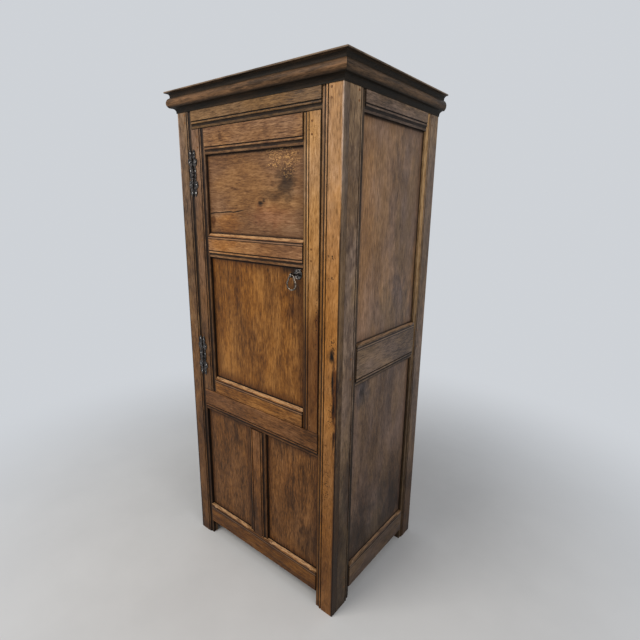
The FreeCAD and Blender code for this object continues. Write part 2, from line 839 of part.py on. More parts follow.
def rosette():
    """Round plate under the pull: flat dish with a raised rim and a boss."""
    s, z = pull_centre()
    back = panel_recess
    hole = spindle_radius + spindle_play
    rim_inner = rosette_radius - rosette_rim_width
    rim_mid = rosette_radius - rosette_rim_width / 2

    def point(r, h):
        return door_place(s + r, back - h, z)

    edges = [
        Part.makeLine(point(hole, 0), point(rosette_radius, 0)),
        Part.makeLine(point(rosette_radius, 0), point(rosette_radius, rosette_plate)),
        Part.Arc(
            point(rosette_radius, rosette_plate), point(rim_mid, rosette_rim_height),
            point(rim_inner, rosette_plate)).toShape(),
        Part.Arc(
            point(rim_inner, rosette_plate),
            point((rim_inner + rosette_boss_radius) / 2, rosette_plate * rosette_dish_share),
            point(rosette_boss_radius, rosette_plate)).toShape(),
        Part.Arc(
            point(rosette_boss_radius, rosette_plate),
            point((rosette_boss_radius + hole) / 2 + rosette_plate / 2,
                  (rosette_plate + rosette_boss_height) / 2 + rosette_plate / 2),
            point(hole, rosette_boss_height)).toShape(),
        Part.makeLine(point(hole, rosette_boss_height), point(hole, 0)),
    ]
    section = Part.Face(Part.Wire(edges))
    return section.revolve(door_place(s, 0, z), V(0, 1, 0), 360)


def pull_spindle():
    """Turning spindle: eye, collar, shaft, tang and rivet head in one forging."""
    s, z = pull_centre()
    collar_back = panel_recess - rosette_boss_height - spindle_end_gap
    collar_front = collar_back - spindle_collar_length
    hub = door_place(s, -eye_reach, z)
    disc = Part.makeCylinder(eye_radius, eye_width, hub - V(eye_width / 2, 0, 0), V(1, 0, 0))
    disc = disc.makeFillet(eye_edge_round, disc.Edges)
    shaft = spindle_rod(spindle_radius, -eye_reach, latch_front)
    collar = spindle_rod(spindle_collar_radius, collar_front, collar_back)
    tang = spindle_rod(latch_tang_radius, latch_front, latch_back)
    rivet = spindle_rod(latch_rivet_radius, latch_back, latch_back + latch_rivet_height)
    body = disc.fuse([shaft, collar, tang, rivet])
    eye_hole = Part.makeCylinder(
        ring_wire_radius + ring_eye_play, 2 * eye_radius, hub - V(eye_radius, 0, 0), V(1, 0, 0))
    return body.cut(eye_hole).removeSplitter()


def pull_ring():
    """Pear-shaped drop ring: a straight top in the eye, slanting sides and a round bowl."""
    s, z = pull_centre()

    def point(x, h):
        return door_place(s + x, -eye_reach, z + h)

    corner_x = ring_top_half
    corner_h = -ring_corner_radius
    drop = ring_bowl_drop - ring_corner_radius
    spread = ring_bowl_radius - ring_corner_radius
    reach = math.hypot(corner_x, drop)
    lean = math.atan2(drop, corner_x) - math.acos(spread / reach)
    out = (math.cos(lean), math.sin(lean))

    def turned(x, h, radius, angle):
        return point(x + radius * math.cos(angle), h + radius * math.sin(angle))

    side_top = point(corner_x + ring_corner_radius * out[0], corner_h + ring_corner_radius * out[1])
    side_low = point(ring_bowl_radius * out[0], -ring_bowl_drop + ring_bowl_radius * out[1])
    other_top = point(-corner_x - ring_corner_radius * out[0], corner_h + ring_corner_radius * out[1])
    other_low = point(-ring_bowl_radius * out[0], -ring_bowl_drop + ring_bowl_radius * out[1])
    corner_way = (math.pi / 2 + lean) / 2
    start = point(0, 0)
    edges = [
        Part.makeLine(start, point(corner_x, 0)),
        Part.Arc(
            point(corner_x, 0), turned(corner_x, corner_h, ring_corner_radius, corner_way),
            side_top).toShape(),
        Part.makeLine(side_top, side_low),
        Part.Arc(
            side_low, point(0, -ring_bowl_drop - ring_bowl_radius), other_low).toShape(),
        Part.makeLine(other_low, other_top),
        Part.Arc(
            other_top,
            turned(-corner_x, corner_h, ring_corner_radius, math.pi - corner_way),
            point(-corner_x, 0)).toShape(),
        Part.makeLine(point(-corner_x, 0), start),
    ]
    path = Part.Wire(edges)
    section = Part.Wire([Part.makeCircle(ring_wire_radius, start, V(1, 0, 0))])
    ring = path.makePipeShell([section], True, True)
    if ring.ShapeType != "Solid":
        ring = Part.Solid(Part.Shell(ring.Faces))
    if ring.Volume < 0:
        ring.reverse()
    return ring


def spindle_bush():
    """Bush on the panel's back that carries the spindle's far end."""
    back = latch_front - spindle_end_gap
    tube = spindle_rod(bush_radius, panel_recess + panel_thickness, back)
    return tube.cut(spindle_rod(spindle_radius + spindle_play, panel_recess, latch_back))


def latch_bar():
    """Turning bar behind the door, shown released and hanging down."""
    s, z = pull_centre()
    edge_s = carcass_width - front_stile_width - door_left
    reach = edge_s + latch_catch - s
    half = latch_width / 2
    tip = latch_tip_width / 2

    def point(x, h):
        return door_place(s + x, latch_front, z + h)

    edges = [
        Part.Arc(point(-half, 0), point(0, half), point(half, 0)).toShape(),
        Part.makeLine(point(half, 0), point(tip, tip - reach)),
        Part.Arc(point(tip, tip - reach), point(0, -reach), point(-tip, tip - reach)).toShape(),
        Part.makeLine(point(-tip, tip - reach), point(-half, 0)),
    ]
    bar = Part.Face(Part.Wire(edges)).extrude(V(0, latch_thickness, 0))
    return bar.cut(spindle_rod(latch_tang_radius, latch_front - overrun, latch_back + overrun))


def main():
    """Build every piece and write one file for each."""
    nodes, front_pegs = front_frame()
    side_pegs = []
    for place, side in ((left_place, "left"), (right_place, "right")):
        pieces, pegs = side_frame(place, side)
        nodes.update(pieces)
        side_pegs += pegs
    pieces, door_pegs = door()
    nodes.update(pieces)
    nodes.update(cornice())
    nodes.update(carcass_boards())
    nodes.update(hinge("upper_hinge", hinge_upper_centre))
    nodes.update(hinge("lower_hinge", hinge_lower_centre))
    nodes.update(hinge_nails())
    nodes["pull_rosette"] = rosette()
    nodes["pull_spindle"] = pull_spindle()
    nodes["pull_ring"] = pull_ring()
    nodes["spindle_bush"] = spindle_bush()
    nodes["latch_bar"] = latch_bar()
    nodes["pegs_carcass"] = Part.makeCompound(front_pegs + side_pegs)
    nodes["pegs_door"] = Part.makeCompound(door_pegs)
    for name, shape in nodes.items():
        if not shape.isValid():
            print("not valid:", name)
        shape.exportStep(f"parts/{name}.step")
    print(len(nodes), "pieces written")


main()
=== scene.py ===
import math

import bpy
from mathutils import Matrix, Vector


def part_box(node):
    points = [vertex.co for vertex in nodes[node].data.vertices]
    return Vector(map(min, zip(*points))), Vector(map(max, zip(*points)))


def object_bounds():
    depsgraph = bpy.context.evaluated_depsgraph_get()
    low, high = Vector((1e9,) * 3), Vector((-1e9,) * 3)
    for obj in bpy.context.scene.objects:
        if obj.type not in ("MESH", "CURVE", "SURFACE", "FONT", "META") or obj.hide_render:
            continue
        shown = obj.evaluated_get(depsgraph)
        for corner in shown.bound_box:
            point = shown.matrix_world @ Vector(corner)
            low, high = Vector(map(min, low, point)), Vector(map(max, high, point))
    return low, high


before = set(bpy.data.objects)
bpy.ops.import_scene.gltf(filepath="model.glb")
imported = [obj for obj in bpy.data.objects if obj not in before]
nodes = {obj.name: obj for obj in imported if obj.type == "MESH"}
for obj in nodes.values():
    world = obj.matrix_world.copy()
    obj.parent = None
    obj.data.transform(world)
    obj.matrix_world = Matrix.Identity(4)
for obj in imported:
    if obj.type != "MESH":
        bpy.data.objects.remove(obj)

# Sizes in metres, in the row's frame
box_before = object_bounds()
X, Y, Z = 0, 1, 2
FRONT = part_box("front_stile_left")[0].y
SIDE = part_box("right_stile_front")[1].x
TOP = box_before[1][2]
CORNICE_REACH = 0.031
FRAME_EDGE = 0.2965
FRONT_SILL_TOP = 0.150
FRONT_LOW_TOP = 0.611
DOOR_STILE = 0.066
SIDE_STILE_FRONT = 0.080
SIDE_STILE_BACK = 0.084
SIDE_MID_TOP = 0.998
SIDE_SILL_TOP = 0.146
PANEL_TONGUE = 0.008
FLOOR_HALF = 9.0

# Depths in from a board's face, from where to where a part begins or ends
SUNK_DEPTH = (0.0007, 0.0012)
WALL_DEPTH = (0.0070, 0.0105)
DARK_MARK_DEPTH = (0.0135, 0.0170)
DRY_DEPTH = (0.0168, 0.0180)

# Distances off a moulding's edge
WALL_REACH = (0.0006, 0.0018)
FILLET_END = (0.0074, 0.0086)
MOULDING_END = (0.0262, 0.0272)

# Half widths of dark joint lines: the core and the soft edge
RIM_LINE = (0.0005, 0.0019)
SHOULDER_LINE = (0.0006, 0.0018)
SEAM_LINE = (0.0004, 0.0018)
MITRE_LINE = (0.0005, 0.0016)

# Lines under a rail's chamfer: the place below its top, then the two half widths
SILL_GROOVE = (0.0112, 0.0014, 0.0029)
SILL_BEAD = (0.0152, 0.0010, 0.0022)
SILL_STEP = (0.0190, 0.0009, 0.0021)

# Noises in the oak: length along the grain, width across it, detail and roughness
SWAY = (0.55, 0.30, 1.0, 0.4)
WOBBLE = (0.080, 0.040, 2.0, 0.5)
STREAKS = (0.036, 0.0044, 3.0, 0.7)
FIBRES = (0.019, 0.0026, 2.0, 0.6)
CLOUDS = (0.30, 0.12, 3.0, 0.6)
MOTTLE = (0.052, 0.026, 3.0, 0.66)
HUE = (0.20, 0.085, 2.0, 0.5)
RAYS = (0.011, 0.0056, 2.0, 0.6, 1.5)
RING_WIDTH = 0.0075
RING_LENGTH = 1.4
FINE_RELIEF = 0.0005
BROAD_RELIEF = 0.0025

# Camera, fitted to the corners of the cupboard in the photograph
CAMERA_PLACE = Vector((1.1168, -1.3034, 1.4279))
CAMERA_YAW = 0.67114
CAMERA_PITCH = -0.25099
CAMERA_ROLL = 0.01326
CAMERA_LENS = 24.728
CAMERA_SENSOR = 36.0

# Oak tones, linear: dark, middle and light of each kind of surface
HONEY = ((0.160, 0.068, 0.0140), (0.350, 0.162, 0.040), (0.50, 0.256, 0.080))
DOOR = ((0.085, 0.037, 0.0150), (0.190, 0.093, 0.0365), (0.32, 0.176, 0.078))
UMBER = ((0.048, 0.024, 0.0090), (0.122, 0.063, 0.0215), (0.210, 0.118, 0.048))
BROWN = ((0.058, 0.024, 0.0060), (0.146, 0.060, 0.0155), (0.256, 0.115, 0.035))
RUSSET = ((0.078, 0.028, 0.0048), (0.186, 0.072, 0.0125), (0.32, 0.140, 0.030))
SIDE_TONE = ((0.064, 0.040, 0.025), (0.152, 0.103, 0.066), (0.270, 0.190, 0.124))
SIDE_RAIL = ((0.050, 0.030, 0.018), (0.116, 0.075, 0.046), (0.205, 0.135, 0.085))
SIDE_PANEL = ((0.108, 0.057, 0.027), (0.222, 0.130, 0.069), (0.350, 0.215, 0.124))
SIDE_LOW = ((0.088, 0.051, 0.030), (0.176, 0.112, 0.070), (0.280, 0.185, 0.122))
CORNICE = ((0.026, 0.0165, 0.0095), (0.068, 0.041, 0.022), (0.170, 0.100, 0.052))
INSIDE = ((0.10, 0.060, 0.032), (0.185, 0.117, 0.066), (0.28, 0.187, 0.110))

# Colours laid over the oak or multiplied into it, linear
BLACK = (0.0050, 0.0036, 0.0028, 1.0)
# The cornice's black: painted shade in its hollows, and its mitre line
COVE_BLACK = (0.0075, 0.0076, 0.0064, 1.0)
# Multiplied in for painted shade, and for grime and stains
SHADE = (0.30, 0.23, 0.18, 1.0)
WARM_CAST = (1.04, 0.99, 0.88, 1.0)
COOL_CAST = (0.98, 0.995, 1.15, 1.0)
# A painted sheen: the wood greyer towards the top
SHEEN_CAST = (0.98, 1.12, 1.65, 1.0)
CORNER_DARK = (0.30, 0.24, 0.20, 1.0)
# Painted shade on a corner stile's face turned to the side
TURNED_SHADE = (0.44, 0.58, 0.96, 1.0)
FLECK = (0.68, 0.37, 0.13, 1.0)
# Wear and a painted highlight on the arris
ARRIS_WEAR_AND_HIGHLIGHT = (0.50, 0.38, 0.30, 1.0)
# Painted highlights where the rails' upward chamfers catch the light
SILL_HIGHLIGHT = (0.50, 0.285, 0.135, 1.0)
SIDE_SILL_HIGHLIGHT = (0.28, 0.160, 0.082, 1.0)
RUBBED_TOP = (0.26, 0.185, 0.125, 1.0)
# A painted highlight on the bead under a rail's chamfer
SILL_BEAD_HIGHLIGHT = (0.24, 0.150, 0.098, 1.0)
# The back stile's moulding, painted where it faces the light
LIT_EDGE_DARK = (0.22, 0.120, 0.048, 1.0)
LIT_EDGE_LIGHT = (0.52, 0.325, 0.155, 1.0)
BACKDROP = (0.62, 0.645, 0.68, 1.0)
SKY = (0.95, 0.97, 1.0, 1.0)


def make_camera():
    data = bpy.data.cameras.new("camera")
    data.lens = CAMERA_LENS
    data.sensor_width = CAMERA_SENSOR
    data.clip_start = 0.05
    data.clip_end = 60.0
    camera = bpy.data.objects.new("camera", data)
    bpy.context.scene.collection.objects.link(camera)
    ahead = Vector((
        -math.sin(CAMERA_YAW) * math.cos(CAMERA_PITCH),
        math.cos(CAMERA_YAW) * math.cos(CAMERA_PITCH),
        math.sin(CAMERA_PITCH),
    ))
    level = ahead.cross(Vector((0, 0, 1))).normalized()
    over = level.cross(ahead)
    right = math.cos(CAMERA_ROLL) * level + math.sin(CAMERA_ROLL) * over
    up = -math.sin(CAMERA_ROLL) * level + math.cos(CAMERA_ROLL) * over
    turn = Matrix((right, up, -ahead)).transposed().to_4x4()
    camera.matrix_world = Matrix.Translation(CAMERA_PLACE) @ turn
    bpy.context.scene.camera = camera


class Shade:
    """A material under construction: each call adds nodes and gives an output."""

    def __init__(self, name):
        self.material = bpy.data.materials.new(name)
        self.material.use_nodes = True
        self.tree = self.material.node_tree
        self.tree.nodes.clear()
        self.point = self.add("ShaderNodeTexCoord").outputs["Object"]

    def add(self, kind, **settings):
        node = self.tree.nodes.new(kind)
        for key, value in settings.items():
            setattr(node, key, value)
        return node

    def plug(self, value, socket):
        if isinstance(value, bpy.types.NodeSocket):
            self.tree.links.new(value, socket)
        else:
            socket.default_value = value

    def math(self, operation, *values):
        node = self.add("ShaderNodeMath", operation=operation)
        for value, socket in zip(values, node.inputs):
            self.plug(value, socket)
        return node.outputs[0]

    def chain(self, operation, result, *others):
        for value in others:
            result = self.math(operation, result, value)
        return result

    def times(self, *values):
        return self.chain("MULTIPLY", *values)

    def most(self, *values):
        return self.chain("MAXIMUM", *values)

    def least(self, *values):
        return self.chain("MINIMUM", *values)

    def plus(self, a, b):
        return self.math("ADD", a, b)

    def minus(self, a, b):
        return self.math("SUBTRACT", a, b)

    def off(self, value, place):
        """How far a value is from a place, on either side."""
        return self.math("ABSOLUTE", self.minus(value, place))

    def length(self, x, y):
        return self.math("SQRT", self.math("MULTIPLY_ADD", x, x, self.times(y, y)))

    def noisy(self, middle, *pairs):
        """A value about the middle, moved by noises of the given strengths."""
        result = middle - 0.5 * sum(strength for _, strength in pairs)
        for noise, strength in pairs:
            result = self.math("MULTIPLY_ADD", noise, strength, result)
        return result

    def smooth(self, value, low, high, out_low=0.0, out_high=1.0):
        node = self.add("ShaderNodeMapRange", interpolation_type="SMOOTHSTEP", clamp=True)
        for key, v in (("Value", value), ("From Min", low), ("From Max", high),
                       ("To Min", out_low), ("To Max", out_high)):
            self.plug(v, node.inputs[key])
        return node.outputs["Result"]

    def line(self, value, place, core, edge, power):
        """A soft line at a place, with the half widths of its core and its edge."""
        return self.smooth(self.off(value, place), core, edge, power, 0.0)

    def vector(self, x, y, z):
        node = self.add("ShaderNodeCombineXYZ")
        for value, socket in zip((x, y, z), node.inputs):
            self.plug(value, socket)
        return node.outputs[0]

    def noise(self, vector, detail=2.0, rough=0.5, distortion=0.0, scale=1.0):
        node = self.add("ShaderNodeTexNoise", noise_dimensions="3D")
        self.plug(vector, node.inputs["Vector"])
        for key, v in (("Scale", scale), ("Detail", detail), ("Roughness", rough),
                       ("Distortion", distortion)):
            node.inputs[key].default_value = v
        return node.outputs["Fac"]

    def grain(self, along, seed, length, width, *noise):
        """A noise with features of this length along the grain and width across it."""
        node = self.add("ShaderNodeMapping")
        scale = [1.0 / width] * 3
        scale[along] = 1.0 / length
        self.plug(self.point, node.inputs["Vector"])
        node.inputs["Location"].default_value = (3.17 * seed, 1.91 * seed, 2.63 * seed)
        node.inputs["Scale"].default_value = scale
        return self.noise(node.outputs[0], *noise)

    def dots(self, scale, vector):
        node = self.add("ShaderNodeTexVoronoi", voronoi_dimensions="3D", feature="F1")
        self.plug(vector, node.inputs["Vector"])
        node.inputs["Scale"].default_value = scale
        return node.outputs["Distance"]

    def mix(self, factor, a, b, mode="MIX"):
        node = self.add("ShaderNodeMix", data_type="RGBA", blend_type=mode)
        node.clamp_factor = True
        self.plug(factor, node.inputs[0])
        self.plug(a, node.inputs[6])
        self.plug(b, node.inputs[7])
        return node.outputs[2]

    def tint(self, colour, other, factor=1.0):
        return self.mix(factor, colour, other, "MULTIPLY")

    def ramp(self, factor, marks):
        node = self.add("ShaderNodeValToRGB")
        line = node.color_ramp
        while len(line.elements) < len(marks):
            line.elements.new(0.5)
        for element, (place, colour) in zip(line.elements, marks):
            element.position = place
            element.color = (*colour, 1.0)
        self.plug(factor, node.inputs[0])
        return node.outputs[0]

    def bump(self, height, distance, strength=1.0, before=None):
        node = self.add("ShaderNodeBump")
        node.inputs["Strength"].default_value = strength
        node.inputs["Distance"].default_value = distance
        self.plug(height, node.inputs["Height"])
        if before is not None:
            self.plug(before, node.inputs["Normal"])
        return node.outputs[0]

    def axes(self):
        """The three coordinates of a surface point in the row's frame."""
        node = self.add("ShaderNodeSeparateXYZ")
        self.plug(self.point, node.inputs[0])
        return [node.outputs[0], node.outputs[1], node.outputs[2]]

    def finish(self, colour, roughness, normal, **fixed):
        shader = self.add("ShaderNodeBsdfPrincipled")
        self.plug(colour, shader.inputs["Base Color"])
        self.plug(roughness, shader.inputs["Roughness"])
        if normal is not None:
            self.plug(normal, shader.inputs["Normal"])
        for key, value in fixed.items():
            shader.inputs[key.replace("_", " ")].default_value = value
        out = self.add("ShaderNodeOutputMaterial")
        self.tree.links.new(shader.outputs[0], out.inputs[0])
        return self.material


def scaled(colour, factor):
    return tuple(channel * factor for channel in colour)


def shifted(tone, *factors):
    return [tuple(channel * f for channel, f in zip(colour, factors)) for colour in tone]


def stops(tone):
    dark, middle, light = tone
    return [(0.02, scaled(dark, 0.45)), (0.26, dark), (0.50, middle), (0.74, light),
            (1.0, scaled(light, 1.3))]


def patch(s, c, a, oval, noise=None):
    """A soft oval, its middle and reach on the across and along axes; ragged with a noise."""
    u, v, ru, rv = oval
    reach = s.length(s.math("DIVIDE", s.minus(c, u), ru), s.math("DIVIDE", s.minus(a, v), rv))
    if noise is not None:
        reach = s.math("MULTIPLY_ADD", noise, 1.5, s.minus(reach, 0.75))
    return s.smooth(reach, 0.2, 1.0, 1.0, 0.0)


def crack(s, c, a, u0, v0, u1, v1, width, noise):
    """A thin wandering crack between two points on the across and along axes."""
    share = s.math("DIVIDE", s.minus(a, v0), v1 - v0)
    middle = s.math("MULTIPLY_ADD", share, u1 - u0, u0)
    middle = s.math("MULTIPLY_ADD", s.minus(noise, 0.5), 0.020, middle)
    return s.times(s.line(c, middle, 0.3 * width, width, 0.9),
                   s.smooth(share, 0.0, 0.04), s.smooth(share, 0.80, 1.0, 1.0, 0.0))


def growth_rings(s, c, a, along, seed, heart, wobble, knots):
    """Rings about the heart of the log, pushed out round the knots."""
    sway = s.grain(along, seed, *SWAY)
    side = s.plus(s.minus(c, heart[0]), s.noisy(0.0, (sway, 0.06)))
    deep = s.noisy(heart[1], (sway, 0.16))
    radius = s.math("MULTIPLY_ADD", wobble, 0.005, s.length(side, deep))
    for u, v, ru, rv, power in knots:
        bulge = patch(s, c, a, (u, v, 3.0 * ru, 3.0 * rv))
        radius = s.math("MULTIPLY_ADD", bulge, 0.016 * power, radius)
    return s.noise(s.vector(s.math("DIVIDE", radius, RING_WIDTH),
                            s.math("DIVIDE", a, RING_LENGTH), seed), 3.0, 0.62)


def moulding_dirt_and_shade(s, c, depth, edges, streaks, fillet_dirt, wall_dirt):
    """Grime and painted shade in the sunk part of a moulding, and on the wall from it down to the
    panel.
    """
    off = s.least(*(s.off(c, edge) for edge in edges))
    sunk = s.times(s.smooth(depth, *SUNK_DEPTH), s.smooth(off, *MOULDING_END, 1.0, 0.0),
                   s.smooth(off, *FILLET_END, fillet_dirt, 1.0),
                   s.smooth(streaks, 0.30, 0.65, 0.98, 0.86))
    wall = s.times(s.smooth(off, *WALL_REACH, 0.93, 0.0),
                   s.smooth(depth, *WALL_DEPTH, wall_dirt / 0.93, 1.0))
    return s.most(sunk, wall)


def oak(name, tone, along, face, seed, heart, figure=0.5, contrast=1.0, fine=1.0,
        skin=None, panel=None, panel_dirt=0.5, moulding=(), fillet_dirt=0.45, wall_dirt=0.93,
        rims=(), shoulders=(), shoulder_dark=0.85, low_dark=0.25, fade=None, tints=(),
        spots=(), knots=(), specks=(), cracks=(), flecks=(), pits=0.2, extra=None):
    """Waxed old oak.

    along: the grain's axis. face: the axis across the board's thickness.
    heart: the middle of the log's rings, on the across axis and behind the face.
    figure, fine and contrast: the strength of the rings, of the fine grain and of all of it.
    skin: the place of the waxed face and the way in from it; the other face is left dry.
    panel: the ranges that show on the across and along axes, with grime and painted shade from
    the frame at their ends.
    moulding: the places of the moulded edges on the across axis.
    The fillet's and the wall's darkness: how dark the fillet and the wall down to the panel are,
    with grime and painted shade.
    rims and shoulders: where the board meets its neighbours, across and along.
    low_dark: how dark the foot of the cupboard is, grime with painted shade where the light falls
    off downward. pits: how dark the small pits are.
    fade: the heights between which the board gets lighter, and how dark it is below.
    tints, spots, knots, specks and flecks: ovals, each with the colour it multiplies by or
    its power. cracks: both ends and a width. All these are on the across and along axes.
    extra: a function that paints over the colour.
    """
    s = Shade(name)
    place = s.axes()
    a, c = place[along], place[3 - along - face]
    if skin is not None:
        depth = s.times(s.minus(place[face], skin[0]), skin[1])

    # Rings, streaks and pores along the grain, and clouds over it
    wobble = s.grain(along, seed, *WOBBLE)
    rings = growth_rings(s, c, a, along, seed, heart, wobble, knots)
    streaks = s.grain(along, seed, *STREAKS)
    fibres = s.grain(along, seed, *FIBRES)
    clouds = s.grain(along, seed, *CLOUDS)
    mottle = s.grain(along, seed, *MOTTLE)
    hue = s.grain(along, seed + 31, *HUE)
    pore = s.smooth(fibres, 0.33, 0.45, 1.0, 0.0)
    level = s.noisy(0.5, (rings, 0.95 * figure * contrast), (streaks, 0.95 * fine * contrast),
                    (fibres, 0.50 * fine * contrast), (clouds, 0.85 * contrast),
                    (mottle, 0.46 * contrast))
    level = s.math("MULTIPLY_ADD", pore, -0.10 * contrast, level)
    cast = s.mix(s.smooth(hue, 0.34, 0.66), WARM_CAST, COOL_CAST)
    colour = s.tint(s.ramp(level, stops(tone)), cast)
    for *oval, tint in tints:
        colour = s.tint(colour, (*tint, 1.0), patch(s, c, a, oval, mottle))

    # Soft dark: grime and painted shade towards the foot, dark patches such as old stains, and
    # the panel's border
    soft = s.times(s.smooth(place[Z], 0.0, 1.6, low_dark, 0.0),
                   s.smooth(clouds, 0.25, 0.65, 1.25, 0.75))
    if fade is not None:
        soft = s.most(soft, s.smooth(place[Z], *fade, 0.0))
    for *oval, power in spots:
        soft = s.most(soft, s.times(patch(s, c, a, oval, mottle), power))
    hard = s.times(s.smooth(s.dots(230.0, s.point), 0.14, 0.26, pits, 0.0),
                   s.smooth(s.noise(s.point, scale=8.0), 0.50, 0.68))
    # The panel's border: grime, and painted shade cast by the frame on the sunk panel
    if panel is not None:
        (c0, c1), (a0, a1) = panel
        edge = s.least(s.minus(c, c0), s.minus(c1, c), s.minus(a, a0), s.minus(a1, a))
        ragged = s.plus(edge, s.noisy(0.0, (clouds, -0.07), (mottle, -0.03)))
        soft = s.most(soft, s.smooth(ragged, -0.006, 0.045, 1.2 * panel_dirt, 0.0))
        hard = s.most(hard, s.smooth(edge, 0.0020, 0.0095, panel_dirt + 0.3, 0.0))
    colour = s.tint(colour, SHADE, soft)

    # Hard dark: knots, worm holes, cracks, grime and painted shade in the hollows, and joint
    # lines
    for *oval, power in knots:
        hard = s.most(hard, s.times(patch(s, c, a, oval, streaks), power))
    for *oval, power in specks:
        worm = s.smooth(s.dots(130.0, s.vector(a, c, 0.0)), 0.20, 0.40, power, 0.0)
        hard = s.most(hard, s.times(patch(s, c, a, oval), worm))
    for u0, v0, u1, v1, width in cracks:
        hard = s.most(hard, crack(s, c, a, u0, v0, u1, v1, width, wobble))
    if moulding:
        hard = s.most(hard, moulding_dirt_and_shade(s, c, depth, moulding, streaks, fillet_dirt, wall_dirt))
    for rim in rims:
        hard = s.most(hard, s.line(c, rim, *RIM_LINE, 0.85))
    for shoulder in shoulders:
        hard = s.most(hard, s.line(a, shoulder, *SHOULDER_LINE, shoulder_dark))
    if skin is not None:
        hard = s.times(hard, s.smooth(depth, *DARK_MARK_DEPTH, 1.0, 0.0))
    colour = s.mix(hard, colour, BLACK)

    # Pale flecks where the figure or a scratch shows
    for *oval, power in flecks:
        ray = s.grain(along, seed, *RAYS)
        mask = s.times(patch(s, c, a, oval, mottle), s.smooth(ray, 0.54, 0.60), power)
        colour = s.mix(mask, colour, FLECK)
    if extra is not None:
        colour = extra(s, place, colour, streaks)

    # The dry back, except on the outer faces of the corner stiles
    if skin is not None:
        dry = s.tint(s.ramp(level, stops(INSIDE)), SHADE, soft)
        inner = s.smooth(s.math("ABSOLUTE", place[X]), SIDE - 0.002, SIDE - 0.001, 1.0, 0.0)
        colour = s.mix(s.times(s.smooth(depth, *DRY_DEPTH), inner), colour, dry)

    relief = s.noisy(0.0, (rings, 0.5), (streaks, 1.3), (fibres, 0.8))
    normal = s.bump(s.math("MULTIPLY_ADD", hard, -1.6, relief), FINE_RELIEF)
    normal = s.bump(s.noisy(0.0, (mottle, 0.7), (clouds, 1.0)), BROAD_RELIEF, 0.8, normal)
    rough = s.math("MULTIPLY_ADD", hard, 0.25, s.noisy(0.42, (clouds, 0.20), (streaks, 0.22)))
    return s.finish(colour, rough, normal, Coat_Weight=0.04, Coat_Roughness=0.30,
                    Specular_IOR_Level=0.12)


def cornice_oak(name, tone, along, face, plane, way):
    """Very dark oak with a brown swell, its hollows black as painted shade, and a pale upper
    edge.
    """
    s = Shade(name)
    place = s.axes()
    dark, middle, light = tone
    seed = 50 + along
    streaks = s.grain(along, seed, 0.080, 0.0065, 3.0, 0.66)
    fibres = s.grain(along, seed, 0.020, 0.0020, 2.0, 0.6)
    clouds = s.grain(along, seed, 0.16, 0.05, 3.0, 0.6)
    level = s.noisy(0.50, (streaks, 0.75), (clouds, 0.85), (fibres, 0.6))
    colour = s.ramp(level, [(0.1, scaled(dark, 0.6)), (0.3, dark), (0.5, middle), (0.85, light)])

    # Black in the hollows and under its lip as painted shade, dark on the top, and a line along
    # the mitre
    below = s.times(s.minus(place[face], plane), way)
    sunk = s.smooth(s.plus(below, s.noisy(0.0, (clouds, 0.006))), 0.0030, 0.0120)
    top = s.smooth(place[Z], TOP - 0.0012, TOP - 0.0004)
    lip = s.smooth(place[Z], TOP - 0.0150, TOP - 0.0100, 0.0, 0.6)
    out = s.minus(s.math("ABSOLUTE", place[X]), SIDE)
    mitre = s.math("ABSOLUTE", s.plus(out, s.minus(place[Y], FRONT)))
    hard = s.most(s.times(sunk, 0.88), s.times(top, 0.45), lip,
                  s.smooth(mitre, *MITRE_LINE, 0.85, 0.0))
    colour = s.mix(hard, colour, COVE_BLACK)

    lightened = s.times(s.smooth(below, 0.0004, 0.0022, 1.0, 0.0),
                     s.smooth(place[Z], TOP - 0.0050, TOP - 0.0015),
                     s.smooth(streaks, 0.36, 0.60, 0.15, 0.7))
    colour = s.mix(lightened, colour, RUBBED_TOP)
    normal = s.bump(s.noisy(0.0, (streaks, 1.2), (fibres, 0.6)), FINE_RELIEF)
    normal = s.bump(clouds, BROAD_RELIEF, 0.8, normal)
    rough = s.math("MULTIPLY_ADD", hard, 0.15, s.noisy(0.42, (clouds, 0.24), (streaks, 0.2)))
    return s.finish(colour, rough, normal, Specular_IOR_Level=0.07)


def iron(name, dark, light, shine, beaten=0.0009):
    """Forged iron, black in its hollows and rubbed on its high spots."""
    s = Shade(name)
    dents = s.noise(s.point, scale=160.0)
    grain = s.noise(s.point, 3.0, 0.6, scale=900.0)
    bevel = s.add("ShaderNodeBevel", samples=4)
    bevel.inputs["Radius"].default_value = 0.0012
    lightened = s.smooth(s.noisy(0.5, (dents, 0.7), (grain, 0.3)), 0.42, 0.62)
    colour = s.mix(lightened, (*dark, 1.0), (*light, 1.0))
    rough = s.noisy(shine + 0.1, (grain, 0.22))
    normal = s.bump(dents, beaten, 0.9, bevel.outputs[0])
    normal = s.bump(grain, 0.00012, 0.8, normal)
    return s.finish(colour, rough, normal, Metallic=0.85)


# Functions that paint over the oak's colour, for oak's extra


def top_sheen(s, place, colour, streaks):
    """Painted sheen: the wood gets a little greyer towards the top, a painted reflection on the
    wax.
    """
    return s.tint(colour, SHEEN_CAST, s.smooth(place[Z], 1.05, 1.60))


